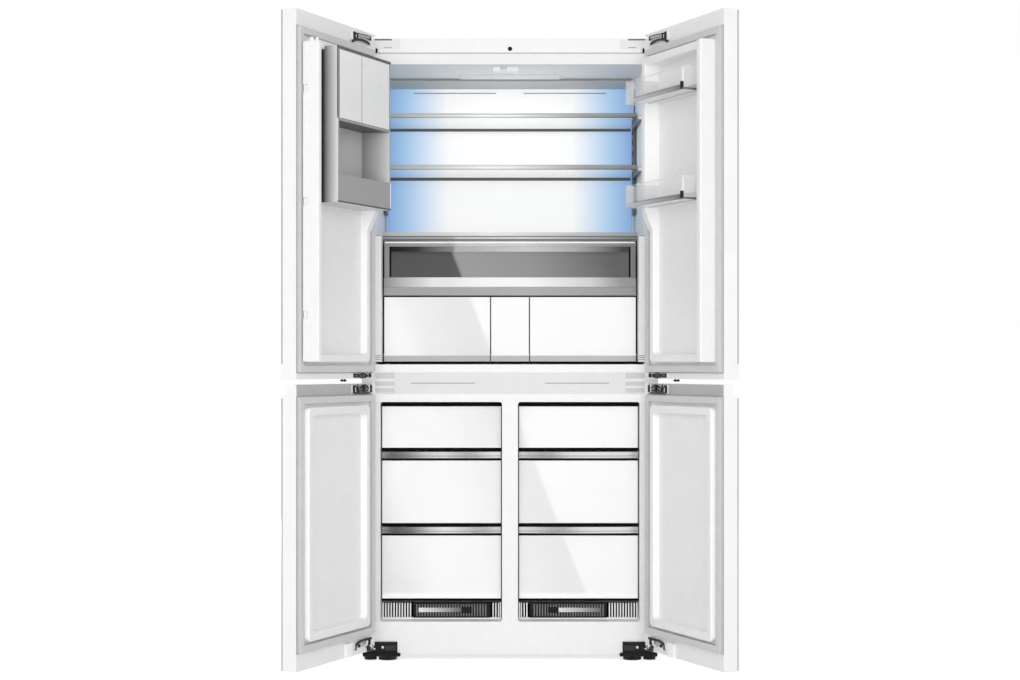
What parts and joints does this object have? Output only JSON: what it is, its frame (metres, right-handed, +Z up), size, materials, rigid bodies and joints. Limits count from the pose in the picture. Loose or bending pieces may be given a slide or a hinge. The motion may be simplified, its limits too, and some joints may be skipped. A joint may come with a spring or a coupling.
{
  "type": "multi-door refrigerator",
  "caption": "Free-standing refrigerator with French doors over paired freezer doors, shown open, with glass shelves, drawers, door bins, a dispenser and a flip mullion.",
  "frame": {"origin": "on the floor, under the middle of the object's box with its doors open", "axes": "+Z up, +X to the right seen from the front, +Y from the doors towards the rear panel"},
  "size_m": [1.283, 1.0774, 1.9],
  "materials": {
    "cabinet_paint": "satin",
    "rear_sheet": "zinc satin",
    "black_plastic": "matte",
    "foam": "matte",
    "liner_white": "satin",
    "trim_white": "satin",
    "hinge_steel": "satin",
    "black_paint": "satin",
    "fin_aluminium": "plain",
    "lamp_cover": "satin",
    "shelf_glass": "clear",
    "trim_aluminium": "brushed",
    "drawer_white": "satin",
    "smoked_glass": "smoked",
    "dark_plastic": "matte",
    "grey_plastic": "satin",
    "pale_plastic": "satin",
    "clear_plastic": "clear",
    "door_paint": "satin",
    "seal_rubber": "matte"
  },
  "bodies": {
    "cabinet": {"cabinet_shell": "cabinet_paint", "rear_panel": "rear_sheet", "power_inlet": "black_plastic", "base_plate": "rear_sheet", "cabinet_insulation": "foam", "fridge_liner": "liner_white", "freezer_liners": "liner_white", "top_strip": "trim_white", "middle_beam": "trim_white", "freezer_divider": "trim_white", "plinth": "trim_white", "top_hinges": "hinge_steel", "middle_hinges": "hinge_steel", "bottom_hinges": "black_paint", "levelling_feet": "black_plastic", "condensing_unit": "black_paint", "evaporator": "fin_aluminium", "air_duct_panel": "liner_white", "ceiling_light": "lamp_cover", "mullion_guide": "trim_white", "glass_shelves": "shelf_glass", "shelf_trims": "trim_aluminium", "crisper_frame": "liner_white", "drawer_runners": "trim_white", "return_grilles": "trim_white", "filter_cassettes": "dark_plastic"},
    "upper_left_door": {"upper_left_door_skin": "door_paint", "upper_left_door_foam": "foam", "upper_left_door_liner": "liner_white", "upper_left_door_gasket": "seal_rubber", "dispenser_housing": "grey_plastic", "dispenser_covers": "pale_plastic"},
    "upper_right_door": {"upper_right_door_skin": "door_paint", "upper_right_door_foam": "foam", "upper_right_door_liner": "liner_white", "upper_right_door_gasket": "seal_rubber", "door_bins": "clear_plastic", "bin_rails": "trim_aluminium"},
    "lower_left_door": {"lower_left_door_skin": "door_paint", "lower_left_door_foam": "foam", "lower_left_door_liner": "liner_white", "lower_left_door_gasket": "seal_rubber"},
    "lower_right_door": {"lower_right_door_skin": "door_paint", "lower_right_door_foam": "foam", "lower_right_door_liner": "liner_white", "lower_right_door_gasket": "seal_rubber"},
    "flip_mullion": {"flip_mullion": "trim_white"},
    "evaporator_fan": {"evaporator_fan": "black_plastic"},
    "rear_rollers": {"rear_rollers": "black_plastic"},
    "wide_drawer": {"wide_drawer": "drawer_white", "wide_drawer_window": "smoked_glass"},
    "left_crisper": {"left_crisper": "drawer_white"},
    "right_crisper": {"right_crisper": "drawer_white"},
    "water_tank": {"water_tank": "drawer_white"},
    "left_lower_freezer_drawer": {"left_lower_freezer_drawer": "drawer_white"},
    "left_middle_freezer_drawer": {"left_middle_freezer_drawer": "drawer_white"},
    "left_upper_freezer_drawer": {"left_upper_freezer_drawer": "drawer_white"},
    "right_lower_freezer_drawer": {"right_lower_freezer_drawer": "drawer_white"},
    "right_middle_freezer_drawer": {"right_middle_freezer_drawer": "drawer_white"},
    "right_upper_freezer_drawer": {"right_upper_freezer_drawer": "drawer_white"}
  },
  "joints": [
    {"name": "upper_left_door_hinge", "type": "hinge", "parent": "cabinet", "child": "upper_left_door", "pos_m": [-0.442, -0.10626, 1.3805], "axis": [0, 0, 1], "range_deg": [0, 115]},
    {"name": "upper_right_door_hinge", "type": "hinge", "parent": "cabinet", "child": "upper_right_door", "pos_m": [0.442, -0.10626, 1.3805], "axis": [0, 0, -1], "range_deg": [0, 115]},
    {"name": "lower_left_door_hinge", "type": "hinge", "parent": "cabinet", "child": "lower_left_door", "pos_m": [-0.442, -0.10626, 0.429], "axis": [0, 0, 1], "range_deg": [0, 115]},
    {"name": "lower_right_door_hinge", "type": "hinge", "parent": "cabinet", "child": "lower_right_door", "pos_m": [0.442, -0.10626, 0.429], "axis": [0, 0, -1], "range_deg": [0, 115]},
    {"name": "flip_mullion_hinge", "type": "hinge", "parent": "upper_left_door", "child": "flip_mullion", "pos_m": [-0.57073, -0.51187, 1.359], "axis": [0, 0, -1], "range_deg": [0, 90]},
    {"name": "wide_drawer_slide", "type": "slide", "parent": "cabinet", "child": "wide_drawer", "axis": [0, 1, 0], "range_m": [-0.26, 0]},
    {"name": "left_crisper_slide", "type": "slide", "parent": "cabinet", "child": "left_crisper", "axis": [0, 1, 0], "range_m": [-0.26, 0]},
    {"name": "right_crisper_slide", "type": "slide", "parent": "cabinet", "child": "right_crisper", "axis": [0, 1, 0], "range_m": [-0.26, 0]},
    {"name": "water_tank_slide", "type": "slide", "parent": "cabinet", "child": "water_tank", "axis": [0, 1, 0], "range_m": [-0.26, 0]},
    {"name": "left_lower_freezer_drawer_slide", "type": "slide", "parent": "cabinet", "child": "left_lower_freezer_drawer", "axis": [0, 1, 0], "range_m": [-0.26, 0]},
    {"name": "left_middle_freezer_drawer_slide", "type": "slide", "parent": "cabinet", "child": "left_middle_freezer_drawer", "axis": [0, 1, 0], "range_m": [-0.26, 0]},
    {"name": "left_upper_freezer_drawer_slide", "type": "slide", "parent": "cabinet", "child": "left_upper_freezer_drawer", "axis": [0, 1, 0], "range_m": [-0.26, 0]},
    {"name": "right_lower_freezer_drawer_slide", "type": "slide", "parent": "cabinet", "child": "right_lower_freezer_drawer", "axis": [0, 1, 0], "range_m": [-0.26, 0]},
    {"name": "right_middle_freezer_drawer_slide", "type": "slide", "parent": "cabinet", "child": "right_middle_freezer_drawer", "axis": [0, 1, 0], "range_m": [-0.26, 0]},
    {"name": "right_upper_freezer_drawer_slide", "type": "slide", "parent": "cabinet", "child": "right_upper_freezer_drawer", "axis": [0, 1, 0], "range_m": [-0.26, 0]},
    {"name": "evaporator_fan_spin", "type": "hinge", "parent": "cabinet", "child": "evaporator_fan", "pos_m": [0, 0.43023, 0.721], "axis": [0, 1, 0], "continuous": true},
    {"name": "rear_rollers_spin", "type": "hinge", "parent": "cabinet", "child": "rear_rollers", "pos_m": [0.37, 0.48424, 0.018], "axis": [1, 0, 0], "continuous": true}
  ]
}
